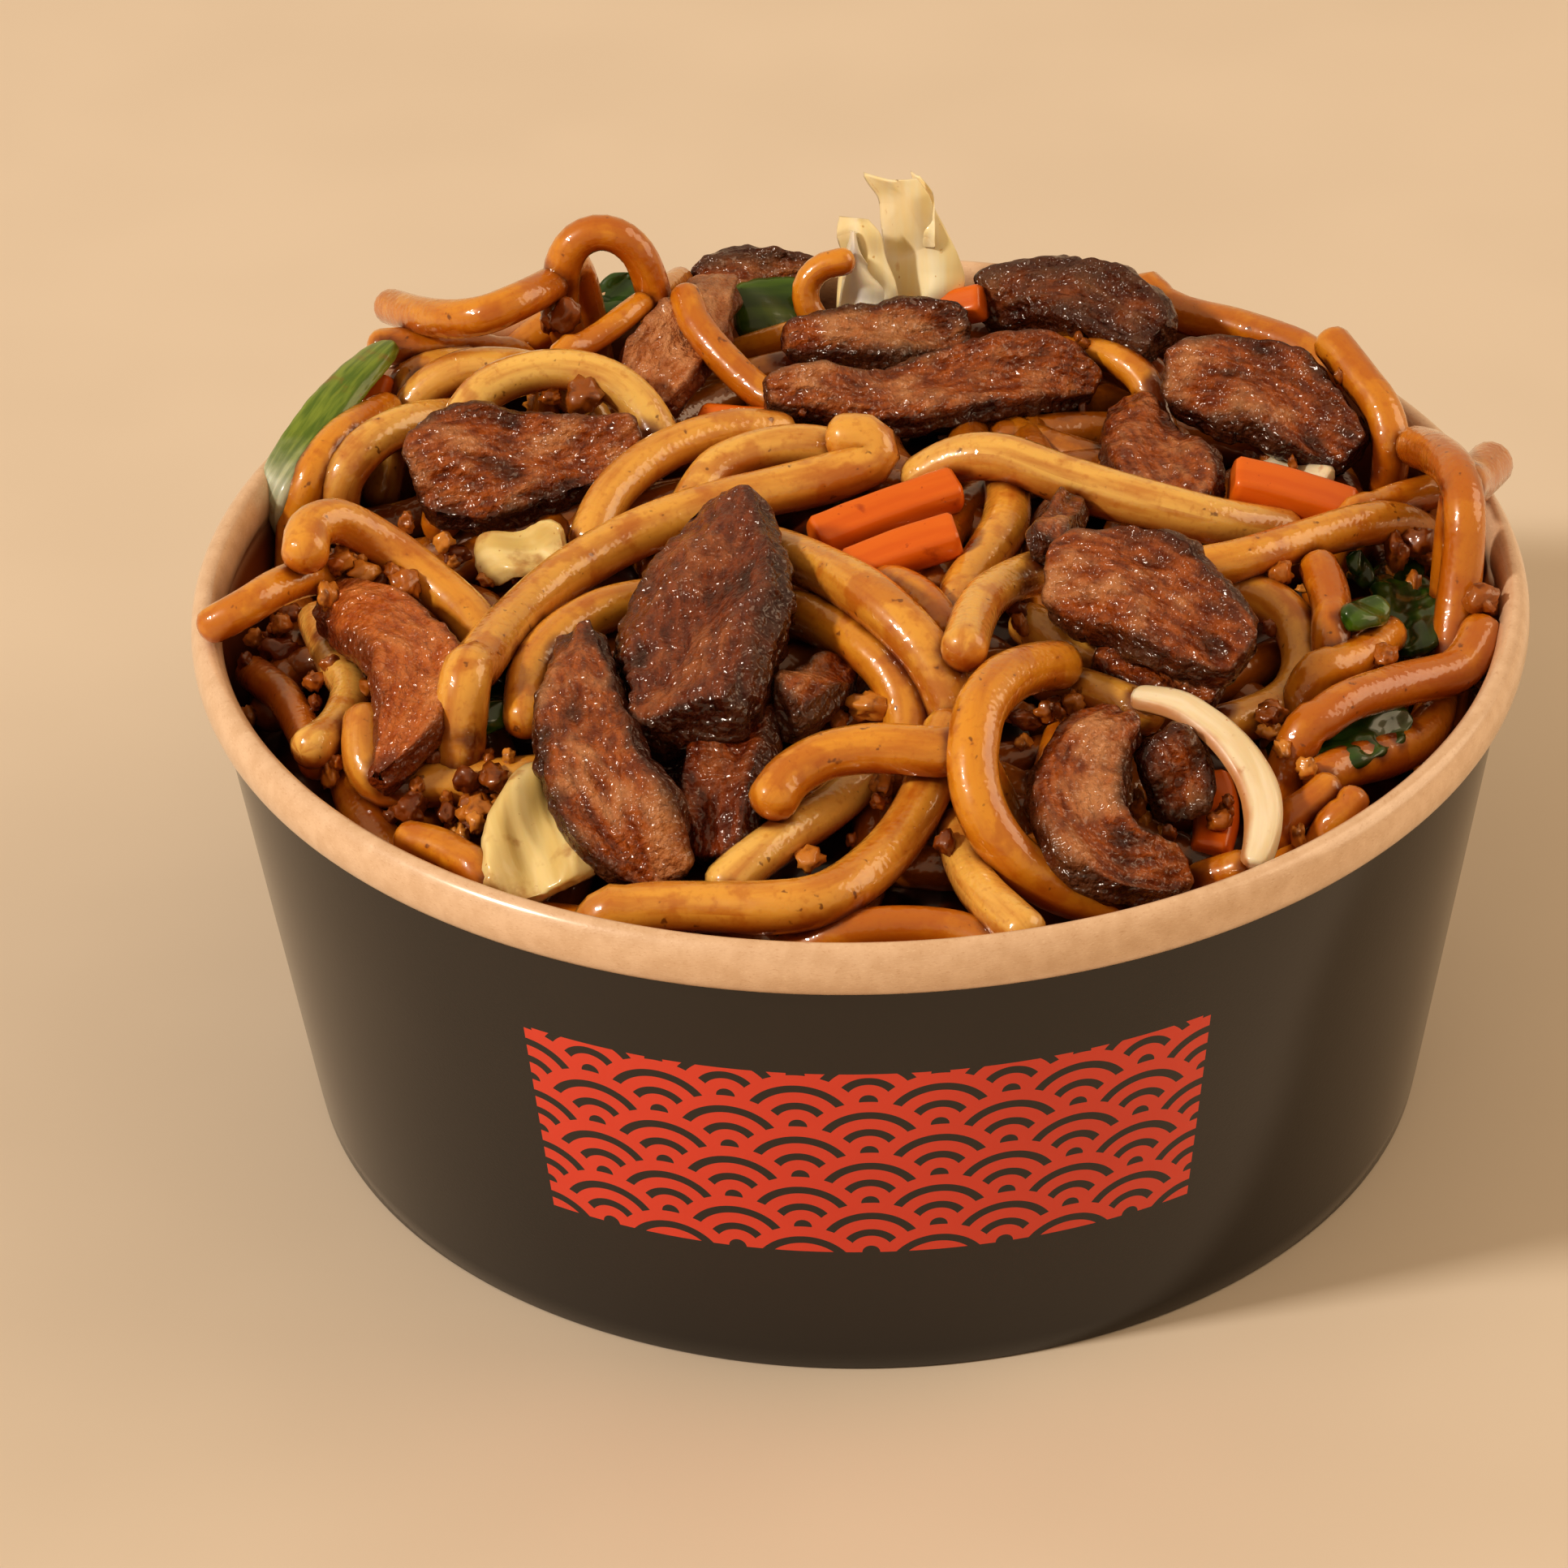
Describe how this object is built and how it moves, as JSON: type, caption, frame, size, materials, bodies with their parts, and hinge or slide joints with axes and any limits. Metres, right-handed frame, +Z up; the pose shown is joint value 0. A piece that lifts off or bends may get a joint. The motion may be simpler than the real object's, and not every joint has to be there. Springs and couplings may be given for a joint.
{
  "type": "noodle takeaway bowl",
  "caption": "Round tapered paper takeaway bowl with a rolled rim, heaped with sauced thick noodles, beef slices and cut vegetables.",
  "frame": {"origin": "on the table, under the middle of the bowl's foot", "axes": "+Z up, -Y towards the front of the bowl, +X to the right as seen from the front"},
  "size_m": [0.1648, 0.1648, 0.0894],
  "materials": {
    "bowl_print": "satin",
    "bowl_kraft": "matte",
    "noodle": "gloss",
    "beef": "gloss",
    "carrot": "satin",
    "cabbage": "satin",
    "onion": "gloss",
    "pepper": "gloss",
    "leek": "gloss",
    "leaf": "gloss"
  },
  "bodies": {
    "root": {"bowl_wall": "bowl_print", "bowl_base": "bowl_kraft", "noodle_heap": "noodle", "beef_back_left": "beef", "pepper_back": "pepper", "leaf_in_loop": "leaf", "carrot_left": "carrot", "leek_left": "leek", "beef_pink_back": "beef", "cabbage_standing": "cabbage", "cabbage_lobe": "cabbage", "beef_back_right": "beef", "carrot_back": "carrot", "beef_slab": "beef", "carrot_sliver": "carrot", "beef_long": "beef", "beef_right_back": "beef", "onion_bit": "onion", "beef_right_corner": "beef", "beef_left": "beef", "carrot_right": "carrot", "carrot_centre_a": "carrot", "carrot_centre_b": "carrot", "beef_crescent": "beef", "cabbage_left": "cabbage", "leaf_left": "leaf", "cabbage_front": "cabbage", "beef_fold_under": "beef", "beef_fold": "beef", "beef_front": "beef", "beef_bit": "beef", "beef_centre": "beef", "beef_tip": "beef", "beef_right_low": "beef", "beef_right": "beef", "leaf_right": "leaf", "leaf_right_low": "leaf", "carrot_front": "carrot", "onion_ring": "onion", "beef_curl": "beef"}
  },
  "joints": []
}
